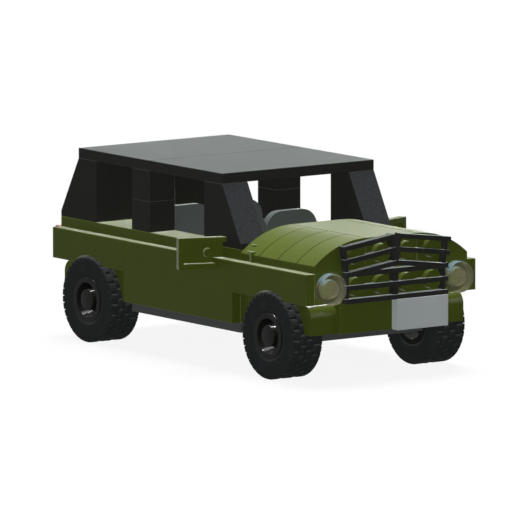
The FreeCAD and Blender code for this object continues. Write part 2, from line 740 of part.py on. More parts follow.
def make_mirror(side):
    """A flat mirror that leans to the rear, cut to sit against the body and its ledge."""
    name = f"mirror_{side}"
    plate = box(
        f"{name}_plate", ("-mirror_thickness", "0"),
        side_span(side, "-mirror_thickness", "mirror_length"), ("0", "mirror_height"))
    recess = box(
        f"{name}_recess", ("-mirror_recess", "cut_overrun"),
        side_span(side, "-mirror_thickness", "mirror_length - mirror_rim"),
        ("mirror_rim", "mirror_height - mirror_rim"))
    boss = rod(
        f"{name}_boss", "mirror_boss_radius", "mirror_thickness", FORWARD,
        "-mirror_thickness", across(side, "mirror_boss_place"), "mirror_height / 2")
    blade = join(f"{name}_blade", [cut(f"{name}_hollow", plate, recess), boss])
    blade.Placement.Rotation = FreeCAD.Rotation(UPWARD, 1)
    bind(blade, Placement__Rotation__Angle=across(side, "sweep_angle"))
    hinge_x = "cowl_x - mirror_place"
    put(blade, hinge_x, across(side, "half_width"), "waist_z + mirror_rise - mirror_height")
    length = (f"{hinge_x} - mirror_length", f"{hinge_x} + mirror_length")
    body_side = box(
        f"{name}_body_side", length, side_span(side, "0", "half_width"), ("floor_z", "top_z"))
    panel_side = box(
        f"{name}_panel_side", length, side_span(side, "0", "panel_y"), ("floor_z", "ledge_z"))
    keep(cut(f"{name}_cut", blade, join(f"{name}_seat", [body_side, panel_side])), name)


# The whole car

def make_car():
    make_chassis()
    for end in ENDS:
        make_axle_plate(end)
        for side in SIDES:
            make_tyre(end, side)
            make_rim(end, side)
            make_wing(end, side)
            make_seat(end, side)
    make_blocks()
    make_waist()
    make_hood_top()
    make_rear_wall()
    make_roof()
    make_number_plate()
    for side in SIDES:
        make_cab_wall(side)
        make_side_panels(side)
        make_hood_side(side)
        make_pillars(side)
        make_headlamp(side)
        make_tail_lamp(side)
        make_lower_grille(side)
        make_upper_grille(side)
        make_mirror(side)


def check_and_write():
    doc.recompute()
    for item in doc.Objects:
        if "Invalid" in item.State or "Error" in item.State:
            raise RuntimeError(f"{item.Label} failed: {item.State}")
    os.makedirs("parts", exist_ok=True)
    for item in finished:
        if item.Shape.isNull() or not item.Shape.isValid():
            raise RuntimeError(f"{item.Label} has no valid shape")
        if len(item.Shape.Solids) != 1:
            raise RuntimeError(f"{item.Label} has {len(item.Shape.Solids)} solids")
    for item in finished:
        item.Shape.exportStep(f"parts/{item.Label}.step")
        print(item.Label, round(item.Shape.Volume, 2), item.Shape.BoundBox)


make_car()
check_and_write()
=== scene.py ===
"""Looks of a toy army 4x4 car built of moulded bricks, laid out as an add-on and run as a script."""

import math

import bpy
from mathutils import Matrix, Vector


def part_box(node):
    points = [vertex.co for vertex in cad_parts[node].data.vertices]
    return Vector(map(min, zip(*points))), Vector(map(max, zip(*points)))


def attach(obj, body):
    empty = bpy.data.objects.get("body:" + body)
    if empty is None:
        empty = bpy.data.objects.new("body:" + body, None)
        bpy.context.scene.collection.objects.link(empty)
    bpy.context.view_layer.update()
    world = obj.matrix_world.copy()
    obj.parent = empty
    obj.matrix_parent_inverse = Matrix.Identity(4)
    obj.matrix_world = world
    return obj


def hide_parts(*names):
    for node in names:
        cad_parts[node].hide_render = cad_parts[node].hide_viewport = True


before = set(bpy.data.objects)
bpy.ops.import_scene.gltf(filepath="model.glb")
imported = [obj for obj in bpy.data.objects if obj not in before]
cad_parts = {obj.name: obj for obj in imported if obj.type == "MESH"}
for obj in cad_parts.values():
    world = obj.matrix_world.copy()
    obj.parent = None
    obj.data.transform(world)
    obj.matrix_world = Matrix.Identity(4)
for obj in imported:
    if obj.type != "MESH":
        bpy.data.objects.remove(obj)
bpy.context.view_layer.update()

bl_info = {
    "name": "Brick-built army 4x4",
    "version": (1, 0, 0),
    "blender": (4, 5, 0),
    "location": "View3D > Sidebar > Army 4x4",
    "description": "Adds tyres, rims, lamps and plastic finishes to the packed toy car",
    "category": "Object",
}

MM = 0.001
ENDS = ("front", "rear")
SIDES = ("left", "right")

# Counts
TREAD_ROWS = 4
TREAD_LUGS = 24
STEPS_PER_LUG = 18
SHOULDER_TEETH = 36
RIM_SEGMENTS = 72
LENS_SEGMENTS = 64
CORNER_STEPS = 3
HOOD_BRICKS = 4

# Box of a tyre in the frame, from which its sizes come
tyre_low, tyre_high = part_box("tyre_front_left")


def length(name, description, default):
    """A distance that a user can change, in metres."""
    return bpy.props.FloatProperty(
        name=name, description=description, default=default, unit="LENGTH", subtype="DISTANCE", precision=5
    )


def share(name, description, default):
    """A number from 0 to 1 that a user can change."""
    return bpy.props.FloatProperty(
        name=name, description=description, default=default, min=0.0, max=1.0, subtype="FACTOR"
    )


def colour(name, description, default):
    """A colour that a user can change, in linear light."""
    return bpy.props.FloatVectorProperty(
        name=name, description=description, default=default, size=3, min=0.0, max=1.0, subtype="COLOR"
    )


def refraction(name, description, default):
    """An index of refraction that a user can change. A low one keeps a face from reflecting the room."""
    return bpy.props.FloatProperty(name=name, description=description, default=default, min=1.0)


def strength(name, description, default):
    """How brightly a lamp lights a white face turned to it, where 1 shows the face as white."""
    return bpy.props.FloatProperty(name=name, description=description, default=default, min=0.0)


def angle(name, description, degrees):
    """An angle that a user can change, given in degrees."""
    return bpy.props.FloatProperty(
        name=name, description=description, default=math.radians(degrees), unit="ROTATION", subtype="ANGLE"
    )


class CarSizes(bpy.types.PropertyGroup):
    """Sizes of the pieces that stand for CAD nodes, and of the seams."""

    tyre_radius: length("Tyre radius", "Axle to the tips of the tread", (tyre_high.z - tyre_low.z) / 2)
    tyre_width: length("Tyre width", "Sidewall to sidewall", tyre_high.y - tyre_low.y)
    tread_depth: length("Tread depth", "Lug tops to the bottom of the grooves", 0.55 * MM)
    shoulder_width: length("Shoulder width", "Slotted edge beside the outer lugs", 0.6 * MM)
    shoulder_depth: length("Shoulder depth", "Middle of the tread to the foot of the slots", 1.2 * MM)
    shoulder_fall: length("Shoulder fall", "Middle of the tread to the shoulder's tips", 0.04 * MM)
    sidewall_bulge: length("Sidewall bulge", "Sidewall in front of its bead", 0.3 * MM)
    tread_crown: length("Tread crown", "Middle of the tread above its edges", 0.05 * MM)
    lug_crown: length("Lug crown", "Middle of a lug above its edge", 0.14 * MM)
    lug_groove_share: share("Lug groove", "Share of a lug's pitch that is groove", 0.12)
    row_groove_share: share("Row groove", "Share of a row's width that is groove", 0.1)
    tooth_slot_share: share("Tooth slot", "Share of a shoulder tooth's pitch that is slot", 0.16)
    rim_radius: length("Rim radius", "Rim where the tyre sits", 6.0 * MM)
    ring_width: length("Ring width", "Flat ring around the rim's dish", 1.45 * MM)
    dish_depth: length("Dish depth", "Dish behind the ring", 3.2 * MM)
    dish_fall: length("Dish fall", "How much the dish narrows to its floor", 0.9 * MM)
    web_thickness: length("Web thickness", "Web that carries the hub", 1.4 * MM)
    hub_radius: length("Hub radius", "Hub in the middle of the dish", 2.75 * MM)
    hub_recess: length("Hub recess", "Hub face behind the ring", 0.05 * MM)
    hub_cap: length("Hub cap", "Closed end of the hub's bore", 1.2 * MM)
    hub_bore: length("Hub bore", "Radius of the bore that turns on the axle pin", 1.6 * MM)
    # Seams are painted shade: dark lines that stand in for the shade in the grooves where bricks meet
    seam_width: length("Seam width", "Dark line where two bricks of a row meet", 0.34 * MM)
    edge_round: length("Edge round", "Rounding along moulded edges", 0.14 * MM)
    foot_inset: length("Foot inset", "Step around the foot of a tile", 0.16 * MM)
    foot_height: length("Foot height", "Height of the step around the foot of a tile", 0.4 * MM)
    stud_radius: length("Stud radius", "Round stud that joins the bricks", 2.4 * MM)
    lens_cup_depth: length("Lens cup depth", "Hollow in the back of a round lamp", 1.7 * MM)


class CarColours(bpy.types.PropertyGroup):
    """Colours of the plastics and the rubber, in linear light."""

    olive: colour("Olive", "Body bricks", (0.078, 0.106, 0.0135))
    black: colour("Black", "Roof, pillars, rear wall and grille", (0.036, 0.036, 0.034))
    grain: colour("Grain", "Raised grain of the slanted black bricks", (0.048, 0.056, 0.066))
    rim_black: colour("Rim black", "Rims", (0.015, 0.015, 0.014))
    grey: colour("Grey", "Chassis and axle plates", (0.098, 0.108, 0.106))
    # Painted light: the seat grey is lighter than the seats' own grey, to make up for the shade inside the
    # cab
    seat_grey_with_painted_light: colour("Seat grey", "Seats, which little light reaches", (0.16, 0.178, 0.173))
    light_grey: colour("Light grey", "Number plate", (0.68, 0.74, 0.74))
    rubber: colour("Rubber", "Tyres", (0.036, 0.039, 0.04))
    clear: colour("Clear", "Headlamp lenses", (0.66, 0.63, 0.5))
    # Painted highlights: the paler edge colours on the lenses' upper side walls stand in for the light they
    # catch
    clear_edge_highlight: colour("Clear edge", "Edges of the headlamp lenses", (0.3, 0.42, 0.46))
    red: colour("Red", "Tail lamp lenses", (0.75, 0.02, 0.015))
    red_edge_highlight: colour("Red edge", "Edges of the tail lamp lenses", (0.85, 0.1, 0.08))
    veil_tint: colour("Veil tint", "Sheen of the olive bricks", (0.94, 1.0, 0.84))
    black_veil_tint: colour("Black veil tint", "Sheen of the black bricks", (0.86, 1.0, 0.98))


class CarFinishes(bpy.types.PropertyGroup):
    """Sheen, gloss and fine marks of the plastics and the rubber."""

    veil: share("Veil", "Pale sheen that olive tops show from the side", 1.0)
    black_veil: share("Black veil", "Pale sheen that black tops show from the side", 0.5)
    veil_roughness: share("Veil roughness", "How far the sheen spreads", 0.27)
    wing_coat: share("Wing coat", "Shine of the wings' rounded ends", 1.0)
    wing_coat_roughness: share("Wing coat roughness", "How far that shine spreads", 0.14)
    brick_roughness: share("Brick roughness", "Olive and grey bricks, and number plate", 0.4)
    black_roughness: share("Black roughness", "Black bricks", 0.46)
    rim_roughness: share("Rim roughness", "Outer side of the rims", 0.16)
    rubber_roughness: share("Rubber roughness", "Tyres", 0.55)
    lens_roughness: share("Lens roughness", "Lamps", 0.04)
    # Roughness of the painted seam shade, a dark matt shader along the seams
    painted_seam_shade_roughness: share("Shade roughness", "Shade in the seams", 0.9)
    brick_refraction: refraction("Brick refraction", "Olive and grey bricks, and number plate", 1.12)
    black_refraction: refraction("Black refraction", "Black bricks", 1.06)
    rim_refraction: refraction("Rim refraction", "Rims", 1.14)
    matt_refraction: refraction("Matt refraction", "Rubber, and dirt in the seams", 1.06)
    clear_refraction: refraction("Clear refraction", "Headlamp lenses", 1.05)
    red_refraction: refraction("Red refraction", "Tail lamp lenses", 1.45)
    clear_passes: share("Clear passes", "Light that goes through a headlamp lens", 0.87)
    red_passes: share("Red passes", "Light that goes through a tail lamp lens", 0.85)
    edge_passes_share: share("Edge passes", "Share of that light that goes through a lens's edge", 0.6)
    flow_grain: length("Flow marks", "Patches where the plastic flowed into its mould", 9 * MM)
    wave_grain: length("Waves", "Slight waves of a moulded face", 2.6 * MM)
    wave_depth: length("Wave depth", "Height of those waves", 0.012 * MM)
    dust_grain: length("Dust", "Specks of dust", 0.35 * MM)
    slope_grain: length("Slope grain", "Raised grain of the slanted black bricks", 0.6 * MM)
    slope_depth: length("Slope grain depth", "Height of that grain", 0.07 * MM)
    streak_grain: length("Streaks", "Streaks in the shine of the wings' rounded ends", 0.7 * MM)
    rim_grain: length("Rim marks", "Flow marks of the rims", 3 * MM)
    rim_depth: length("Rim mark depth", "Height of those marks", 0.01 * MM)
    skin_grain: length("Rubber skin", "Fine skin of the tyres", 0.3 * MM)
    skin_depth: length("Rubber skin depth", "Height of that skin", 0.012 * MM)
    patch_grain: length("Rubber patches", "Dusty patches of the tyres", 4 * MM)
    lens_grain: length("Lens streaks", "Moulding streaks of the lenses", 1.8 * MM)
    lens_depth: length("Lens streak depth", "Height of those streaks", 0.008 * MM)
    # Where the painted highlight on a lens's upper side wall starts
    lens_highlight_rise: length("Lens edge rise", "Lens's middle to where its upper edge turns pale", 1 * MM)


class StageSettings(bpy.types.PropertyGroup):
    """Camera, lamps and floor. Azimuth 0 is a place towards -Y, and 90 one towards +X."""

    camera_target: bpy.props.FloatVectorProperty(
        name="Camera target",
        description="Point that the camera looks at",
        default=(-0.01795, 0.0111, 0.02198),
        size=3,
        unit="LENGTH",
        subtype="XYZ",
        precision=5,
    )
    camera_azimuth: angle("Camera azimuth", "Where the camera stands around its target", 54.194)
    camera_elevation: angle("Camera elevation", "Camera above the horizon", 7.865)
    camera_distance: length("Camera distance", "Camera to its target", 2.669)
    camera_reach: length("Camera reach", "How far the camera sees", 48.0)
    lens: bpy.props.FloatProperty(
        name="Lens", description="Focal length", default=723.6, unit="CAMERA", precision=1
    )
    light_spread: angle("Light spread", "How wide each soft light is in the sky", 24)
    top_light: strength("Top light", "Soft light from above", 0.5)
    top_fill: strength("Top fill", "Light from above that throws no shadows", 1.0)
    top_tilt: angle("Top light tilt", "How far the light from above leans behind the car", 12)
    front_light: strength("Front light", "Soft light from the camera's side", 0.04)
    front_fill: strength("Front fill", "Light from the camera's side that throws no shadows", 0.28)
    front_azimuth: angle("Front light azimuth", "Where the front light stands", 46)
    front_elevation: angle("Front light elevation", "Front light above the horizon", 12)
    back_fill: strength("Back fill", "Light from behind the car that throws no shadows", 0.07)
    back_elevation: angle("Back fill elevation", "Back fill above the horizon", 12)
    glint: strength("Glint", "Small light behind the car that throws no shadows", 0.35)
    glint_azimuth: angle("Glint azimuth", "Where the glint stands", 213)
    glint_elevation: angle("Glint elevation", "Glint above the horizon", 46)
    glint_spread: angle("Glint spread", "How wide the glint is in the sky", 8)
    ambient: share("Ambient", "World light on the object", 0.06)
    ambient_tint: colour("Ambient tint", "Colour of the world light", (0.96, 0.98, 1.0))
    floor_size: length("Floor size", "Side of the floor", 12.0)
    floor_grain: length("Floor mottle", "Faint patches of the floor's paint", 40 * MM)
    floor_bounce: share("Floor bounce", "How much light the floor throws back on the object", 0.08)
    floor_paint: share("Floor paint", "Paint that is just white under all the lamps", 0.53)
    floor_glow: share("Floor glow", "Share of the floor that stays white in the shadow", 0.65)


def sizes():
    """The user's sizes."""
    return bpy.context.scene.car_sizes


def colours():
    """The user's colours."""
    return bpy.context.scene.car_colours


def finishes():
    """The user's finishes."""
    return bpy.context.scene.car_finishes


def stage_settings():
    """The user's camera, lamps and floor."""
    return bpy.context.scene.car_stage


# Shader nodes

def shade(tone, factor=1.0):
    """A colour made lighter or darker, with an alpha of 1."""
    return [min(1.0, part * factor) for part in tone] + [1.0]


WHITE = shade((1.0, 1.0, 1.0))


class Value:
    """A node's output that takes part in Python sums, each of which adds a Math node."""

    def __init__(self, tree, socket):
        self.tree = tree
        self.socket = socket

    def _sum(self, operation, first, second):
        return self.tree.node("ShaderNodeMath", {"operation": operation}, {0: first, 1: second})

    def __add__(self, other):
        return self._sum("ADD", self, other)

    def __radd__(self, other):
        return self._sum("ADD", other, self)

    def __sub__(self, other):
        return self._sum("SUBTRACT", self, other)

    def __rsub__(self, other):
        return self._sum("SUBTRACT", other, self)

    def __mul__(self, other):
        return self._sum("MULTIPLY", self, other)

    def __rmul__(self, other):
        return self._sum("MULTIPLY", other, self)


class Tree:
    """The node tree of a material or a world, its owner."""

    def __init__(self, owner):
        owner.use_nodes = True
        self.owner = owner
        self.nodes = owner.node_tree.nodes
        self.links = owner.node_tree.links
        self.nodes.clear()

    def node(self, kind, settings=None, inputs=None, output=0):
        """Adds a node, sets it, fills or links its sockets, and gives one of its outputs, if it has any."""
        made = self.nodes.new(kind)
        for name, setting in (settings or {}).items():
            setattr(made, name, setting)
        for name, given in (inputs or {}).items():
            if isinstance(given, Value):
                self.links.new(given.socket, made.inputs[name])
            else:
                made.inputs[name].default_value = given
        return Value(self, made.outputs[output]) if len(made.outputs) else None

    def mix(self, factor, first, second):
        """A colour between two colours."""
        return self.node(
            "ShaderNodeMix", {"data_type": "RGBA"}, {0: factor, 6: first, 7: second}, output=2
        )

    def tones(self, pattern, tone, shares):
        """A colour that a pattern takes from its darkest to its lightest shade, both shares of a tone."""
        darkest, lightest = shares
        return self.mix(pattern, shade(tone, darkest), shade(tone, lightest))

    def place(self):
        """The point of the surface in the piece's own frame, in metres."""
        return self.node("ShaderNodeTexCoord", output="Object")

    def part(self, vector, axis):
        """The X, Y or Z of a vector."""
        return self.node("ShaderNodeSeparateXYZ", inputs={"Vector": vector}, output=axis)

    def facing(self, axis):
        """How far the true surface faces along X, Y or Z, from -1 to 1."""
        return self.part(self.node("ShaderNodeNewGeometry", output="True Normal"), axis)

    def noise(self, place, grain, detail=2.0, roughness=0.5):
        """Soft noise from 0 to 1 whose spots are about as large as grain, in metres."""
        return self.node(
            "ShaderNodeTexNoise",
            {"noise_dimensions": "3D"},
            {"Vector": place, "Scale": 1.0 / grain, "Detail": detail, "Roughness": roughness},
        )

    def step(self, given, limits):
        """0 below the first limit and 1 above the second, with a smooth step between."""
        low, high = limits
        return self.node(
            "ShaderNodeMapRange",
            {"interpolation_type": "SMOOTHSTEP"},
            {"Value": given, "From Min": low, "From Max": high},
        )

    def band(self, given, rise, fall):
        """1 between two pairs of limits and 0 outside them, with a smooth step at each pair."""
        return self.step(given, rise) * (1.0 - self.step(given, fall))

    def bump(self, height, depth):
        """A normal from a height, with depth in metres."""
        return self.node("ShaderNodeBump", inputs={"Height": height, "Distance": depth})

    def principled(self, **sockets):
        """The plastic or rubber itself, whose socket names are written with low dashes."""
        return self.node(
            "ShaderNodeBsdfPrincipled",
            inputs={name.replace("_", " "): given for name, given in sockets.items()},
        )

    def blend(self, factor, first, second):
        """A shader between two shaders."""
        return self.node("ShaderNodeMixShader", inputs={0: factor, 1: first, 2: second})

    def surface(self, shader):
        """Makes the material show a shader, and gives the material."""
        self.node("ShaderNodeOutputMaterial", inputs={"Surface": shader})
        return self.owner


# Materials

# Limits at which a pattern, or how far a face looks up or forward, starts to count and counts in full
TOP_LIMITS = (0.1, 0.3)
SPECK_LIMITS = (0.66, 0.78)
CURVE_FOOT_LIMITS = (0.03, 0.3)
CURVE_TOP_LIMITS = (0.93, 0.98)
STREAK_LIMITS = (0.2, 0.6)
SLOPE_FOOT_LIMITS = (0.1, 0.2)
SLOPE_TOP_LIMITS = (0.7, 0.8)
GRAIN_LIMITS = (0.3, 0.75)
PATCH_LIMITS = (0.45, 0.75)
LENS_TOP_LIMITS = (0.2, 0.8)
LENS_FACE_LIMITS = (0.3, 0.9)

# Shades as shares of a colour, the darkest and the lightest where a pattern goes through them
FLOW_SHARES = (0.93, 1.07)
# Darkest and lightest of the painted seam shade
PAINTED_SEAM_SHADE_SHARES = (0.22, 0.32)
RUBBER_SHARES = (0.92, 1.5)
LENS_SHARES = (0.94, 1.0)
# Darkest and lightest of the painted highlight on the lenses' upper side walls
LENS_HIGHLIGHT_SHARES = (0.85, 1.0)
FLOOR_SHARES = (1.0, 1.03)
DUST_SHADE_SHARE = 2.2
SLOPE_SHADE_SHARE = 1.15

# How far the colour of each mark covers the surface
SPECK_SHARE = 0.1
PATCH_SHARE = 0.35

# Share of a seam's width that is dark in full, in the painted seam shade
SEAM_CORE_SHARE = 0.6

# What each mark adds to the roughness
FLOW_ROUGHNESS = 0.1
BLACK_FLOW_ROUGHNESS = 0.06
SPECK_ROUGHNESS = 0.08
SLOPE_ROUGHNESS = 0.2
RIM_INSIDE_ROUGHNESS = 0.6
PATCH_ROUGHNESS = 0.12
LENS_STREAK_ROUGHNESS = 0.03
LENS_EDGE_ROUGHNESS = 0.1


class Seams:
    """Painted shade: dark lines on tops, across an axis where bricks meet, standing in for the shade in the
    grooves between them; a first line and the spacing to the next.
    """

    def __init__(self, axis, first, spacing):
        self.axis = axis
        self.first = first
        self.spacing = spacing

    def share(self, tree, place):
        """1 on a line and 0 beside it."""
        beyond = tree.part(place, self.axis) - self.first
        off_line = tree.node(
            "ShaderNodeMath", {"operation": "PINGPONG"}, {0: beyond, 1: self.spacing / 2}
        )
        reach = sizes().seam_width / 2
        on_line = 1.0 - tree.step(off_line, (reach * SEAM_CORE_SHARE, reach))
        return on_line * tree.step(tree.facing("Z"), TOP_LIMITS)


def moulded_plastic(
    name, tone, roughness, refraction, veil=0.0, veil_tint=(1.0, 1.0, 1.0), coat=0.0, seams=None
):
    """Glossy moulded plastic: a faint flow pattern, fine dust, and the slight wave of a moulded face.

    The veil is a sheen. The coat is the uneven shine of faces that curve over from a top to a front. Seams,
    where given, are painted shade: a dark matt shader without sheen along the lines where bricks meet.
    """
    given = finishes()
    tree = Tree(bpy.data.materials.new(name))
    place = tree.place()
    flow = tree.noise(place, given.flow_grain, detail=3.0)
    specks = tree.step(tree.noise(place, given.dust_grain, detail=1.0), SPECK_LIMITS)
    waves = tree.noise(place, given.wave_grain, detail=1.0)
    dust = shade([sum(tone) / len(tone)] * len(tone), DUST_SHADE_SHARE)
    shine = {}
    if coat:
        curved = tree.band(tree.facing("Z"), CURVE_FOOT_LIMITS, CURVE_TOP_LIMITS)
        streaks = tree.noise(place, given.streak_grain, detail=3.0, roughness=0.75)
        shine["Coat_Weight"] = curved * tree.step(streaks, STREAK_LIMITS) * coat
        shine["Coat_Roughness"] = given.wing_coat_roughness
    plastic = tree.principled(
        Base_Color=tree.mix(specks * SPECK_SHARE, tree.tones(flow, tone, FLOW_SHARES), dust),
        Roughness=roughness + (flow - 0.5) * FLOW_ROUGHNESS + specks * SPECK_ROUGHNESS,
        IOR=refraction,
        Sheen_Weight=veil,
        Sheen_Roughness=given.veil_roughness,
        Sheen_Tint=shade(veil_tint),
        Normal=tree.bump(waves, given.wave_depth),
        **shine,
    )
    # Painted shade: along the seams a dark matt shader without the veil stands in for the shade in the
    # grooves
    if seams:
        painted_seam_shade = tree.principled(
            Base_Color=tree.tones(flow, tone, PAINTED_SEAM_SHADE_SHARES),
            Roughness=given.painted_seam_shade_roughness,
            IOR=given.matt_refraction,
        )
        plastic = tree.blend(seams.share(tree, place), plastic, painted_seam_shade)
    return tree.surface(plastic)


def grained_plastic(name, tone, grain_tone):
    """Black plastic whose slanted faces have the coarse grain of moulded slope bricks."""
    given = finishes()
    tree = Tree(bpy.data.materials.new(name))
    place = tree.place()
    flow = tree.noise(place, given.flow_grain, detail=3.0)
    grain = tree.noise(place, given.slope_grain, detail=3.0, roughness=0.6)
    slanted = tree.band(tree.facing("Z"), SLOPE_FOOT_LIMITS, SLOPE_TOP_LIMITS)
    speckled = tree.mix(
        tree.step(grain, GRAIN_LIMITS), shade(tone, SLOPE_SHADE_SHARE), shade(grain_tone)
    )
    return tree.surface(tree.principled(
        Base_Color=tree.mix(slanted, tree.tones(flow, tone, FLOW_SHARES), speckled),
        Roughness=given.black_roughness + slanted * SLOPE_ROUGHNESS + flow * BLACK_FLOW_ROUGHNESS,
        IOR=given.black_refraction,
        Normal=tree.bump(grain * slanted, given.slope_depth),
    ))


def rim_plastic(name, tone):
    """Glossy plastic that turns dull from the dish's floor to the inner side of the wheel."""
    given = finishes()
    tree = Tree(bpy.data.materials.new(name))
    place = tree.place()
    flow = tree.noise(place, given.rim_grain, detail=3.0)
    dish_floor = sizes().dish_depth - sizes().tyre_width / 2
    inside = tree.step(tree.part(place, "Y"), (dish_floor, dish_floor + sizes().web_thickness))
    return tree.surface(tree.principled(
        Base_Color=tree.tones(flow, tone, FLOW_SHARES),
        Roughness=given.rim_roughness + flow * BLACK_FLOW_ROUGHNESS + inside * RIM_INSIDE_ROUGHNESS,
        IOR=given.rim_refraction,
        Normal=tree.bump(flow, given.rim_depth),
    ))


def tyre_rubber(name, tone):
    """Matt rubber with a fine skin and dusty patches."""
    given = finishes()
    tree = Tree(bpy.data.materials.new(name))
    place = tree.place()
    skin = tree.noise(place, given.skin_grain, detail=3.0)
    patches = tree.noise(place, given.patch_grain, detail=3.0)
    dusty = tree.step(patches, PATCH_LIMITS) * PATCH_SHARE
    return tree.surface(tree.principled(
        Base_Color=tree.tones(dusty, tone, RUBBER_SHARES),
        Roughness=given.rubber_roughness + patches * PATCH_ROUGHNESS,
        IOR=given.matt_refraction,
        Normal=tree.bump(skin, given.skin_depth),
    ))


def lens_plastic(name, tone, edge_highlight_tone, refraction, passes):
    """See-through plastic with faint moulding streaks, whose upper side walls have a paler colour, a
    painted highlight for the light they catch.
    """
    given = finishes()
    tree = Tree(bpy.data.materials.new(name))
    place = tree.place()
    streaks = tree.noise(place, given.lens_grain)
    forward = tree.facing("X")
    upper = tree.step(tree.facing("Z"), LENS_TOP_LIMITS)
    upper = upper * tree.step(tree.part(place, "Z"), (0.0, given.lens_highlight_rise))
    clear = tree.principled(
        Base_Color=tree.tones(streaks, tone, LENS_SHARES),
        Roughness=given.lens_roughness + streaks * LENS_STREAK_ROUGHNESS,
        IOR=refraction,
        Transmission_Weight=passes,
        Normal=tree.bump(streaks, given.lens_depth),
    )
    # Painted highlight: the upper side walls get the paler edge colour
    edge = tree.principled(
        Base_Color=tree.tones(streaks, edge_highlight_tone, LENS_HIGHLIGHT_SHARES),
        Roughness=given.lens_roughness + streaks * LENS_EDGE_ROUGHNESS,
        IOR=refraction,
        Transmission_Weight=passes * given.edge_passes_share,
    )
    painted_highlight_mask = (1.0 - tree.step(forward * forward, LENS_FACE_LIMITS)) * upper
    return tree.surface(tree.blend(painted_highlight_mask, clear, edge))


# Meshes

# Inset of a rounded edge at the middle of its arc, as a share of its radius
ARC_MIDDLE_SHARE = 0.3

TURNED_SHARP_ANGLE = math.radians(28)
TILE_SHARP_ANGLE = math.radians(35)

# How strongly large faces lead the smoothing, where 50 is neutral and 100 is the most
AREA_WEIGHT = 100


def put(name, data):
    """An object in the scene for a mesh, a lamp or a camera."""
    made = bpy.data.objects.new(name, data)
    bpy.context.scene.collection.objects.link(made)
    return made


def smooth_mesh(name, points, faces, material):
    """A smooth-shaded mesh."""
    mesh = bpy.data.meshes.new(name)
    mesh.from_pydata(points, [], faces)
    mesh.materials.append(material)
    mesh.shade_smooth()
    mesh.update()
    return mesh


def flatten(piece, sharp_angle):
    """Keeps edges above an angle sharp, and lets large faces look flat up to their rounded edges."""
    piece.data.set_sharp_from_angle(angle=sharp_angle)
    modifier = piece.modifiers.new("Flat faces", "WEIGHTED_NORMAL")
    modifier.keep_sharp = True
    modifier.weight = AREA_WEIGHT


def ring_faces(rings):
    """Faces from each closed ring of point numbers to the next, where a ring may repeat a single point.

    They look outward where a ring's points turn right-handed about the way to the next ring.
    """
    faces = []
    for first, second in zip(rings, rings[1:]):
        for number in range(len(first)):
            after = (number + 1) % len(first)
            corners = (first[number], first[after], second[after], second[number])
            faces.append(list(dict.fromkeys(corners)))
    return faces


def about_y(along, radius, turn):
    """The point at a place along the Y axis, at a radius, after a turn from X towards Z."""
    return radius * math.cos(turn), along, radius * math.sin(turn)


def turned(name, profile, segments, material):
    """A piece turned about the Y axis from a profile of (place along Y, radius), from axis to axis.

    The profile runs towards +Y on its outside.
    """
    points = []
    rings = []
    for along, radius in profile:
        if radius == 0:
            rings.append([len(points)] * segments)
            points.append((0, along, 0))
            continue
        rings.append(list(range(len(points), len(points) + segments)))
        points += [about_y(along, radius, -math.tau * number / segments) for number in range(segments)]
    made = put(name, smooth_mesh(name, points, ring_faces(rings), material))
    flatten(made, TURNED_SHARP_ANGLE)
    return made


def rounded_corner(before, corner, after, radius):
    """Points of an arc that rounds a corner of a profile."""
    corner = Vector(corner)
    back, onward = Vector(before) - corner, Vector(after) - corner
    half = back.angle(onward) / 2
    reach = min(radius / math.tan(half), back.length / 2, onward.length / 2)
    start, end = corner + back.normalized() * reach, corner + onward.normalized() * reach
    arc = []
    for number in range(CORNER_STEPS + 1):
        part = number / CORNER_STEPS
        arc.append(tuple(start * (1 - part) ** 2 + corner * (2 * part * (1 - part)) + end * part ** 2))
    return arc


def rounded_profile(corners, radius):
    """A profile from axis to axis whose corners between its ends are rounded."""
    line = [corners[0]]
    for before, corner, after in zip(corners, corners[1:], corners[2:]):
        line += rounded_corner(before, corner, after, radius)
    return line + [corners[-1]]


def rounded_rectangle(level, low, high, inset, radius):
    """Points at a place along X of a rounded rectangle, which lies inside a box by an inset."""
    reach = inset + radius
    centres = (
        (high.y - reach, high.z - reach),
        (low.y + reach, high.z - reach),
        (low.y + reach, low.z + reach),
        (high.y - reach, low.z + reach),
    )
    points = []
    for quarter, (centre_y, centre_z) in enumerate(centres):
        for number in range(CORNER_STEPS + 1):
            turn = math.pi / 2 * (quarter + number / CORNER_STEPS)
            points.append((level, centre_y + radius * math.cos(turn), centre_z + radius * math.sin(turn)))
    return points


def tile(name, low, high, outward, material):
    """A tile in a box, with rounded edges and a stepped foot.

    outward is 1 where its face looks along +X, and -1 where it looks along -X.
    """
    given = sizes()
    round_by = given.edge_round
    foot, face = (low.x, high.x) if outward > 0 else (high.x, low.x)
    step = foot + outward * given.foot_height
    levels = [
        (foot, given.foot_inset),
        (step, given.foot_inset),
        (step, 0.0),
        (face - outward * round_by, 0.0),
        (face - outward * round_by * ARC_MIDDLE_SHARE, round_by * ARC_MIDDLE_SHARE),
        (face, round_by),
    ]
    if outward < 0:
        levels.reverse()
    points = []
    rings = []
    for level, inset in levels:
        start = len(points)
        points += rounded_rectangle(level, low, high, inset, round_by)
        rings.append(list(range(start, len(points))))
    faces = [rings[0][::-1], *ring_faces(rings), rings[-1]]
    made = put(name, smooth_mesh(name, points, faces, material))
    flatten(made, TILE_SHARP_ANGLE)
    return made


# Wheels

# The sidewall from its bead out: how far it lies in, as shares of its bulge, and its height as shares
SIDEWALL_SHARES = ((1.0, 0.0), (0.45, 0.13), (0.12, 0.3), (0.0, 0.5), (0.03, 0.75), (0.1, 1.0))

# The shoulder above it: how far it lies in, as shares of the bulge, and shares of a tooth's height
SHOULDER_SHARES = ((0.06, 0.12), (0.1, 0.7), (0.2, 0.9), (0.4, 0.97), (0.8, 1.0), (1.6, 1.0))

